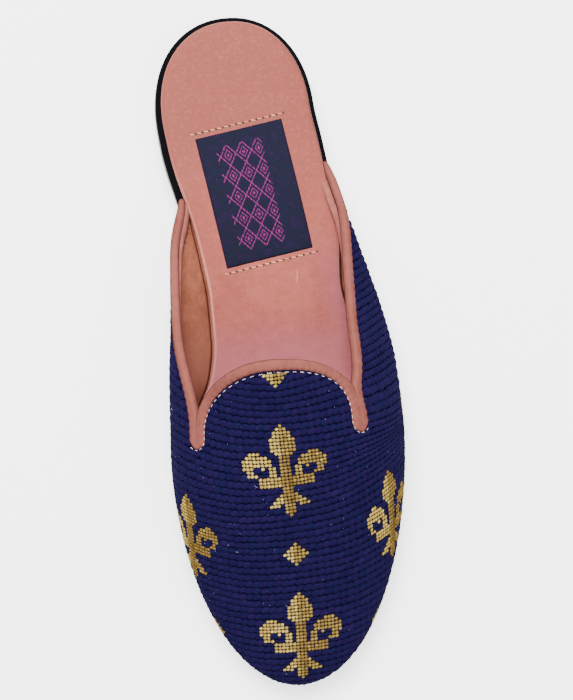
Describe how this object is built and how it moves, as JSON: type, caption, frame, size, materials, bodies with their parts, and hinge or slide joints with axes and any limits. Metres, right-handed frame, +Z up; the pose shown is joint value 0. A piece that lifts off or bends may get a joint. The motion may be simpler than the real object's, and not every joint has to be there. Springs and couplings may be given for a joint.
{
  "type": "needlepoint mule",
  "caption": "Low-heeled slip-on mule for the left foot: needlepoint upper with a rounded tab between notches, rolled leather binding, padded insole and stacked heel.",
  "frame": {"origin": "on the floor, under the middle of the shoe's box", "axes": "-Y towards the toe, +X towards the outer side of the left foot, +Z up"},
  "size_m": [0.092, 0.2644, 0.0669],
  "materials": {
    "sole_leather": "black, burnished and waxed to a gloss",
    "top_piece_rubber": "matt black rubber",
    "insole_leather": "smooth pinkish tan leather",
    "wool": "navy wool needlepoint with gold motifs",
    "binding_leather": "tan leather, turned over and stitched",
    "lining_leather": "orange tan lining leather, slightly wrinkled",
    "label_weave": "dark navy woven patch with magenta thread",
    "thread": "waxed sewing thread"
  },
  "bodies": {
    "root": {"outsole": "sole_leather", "heel_lifts": "sole_leather", "heel_top_piece": "top_piece_rubber", "insole": "insole_leather", "upper": "wool", "binding": "binding_leather"}
  },
  "joints": []
}
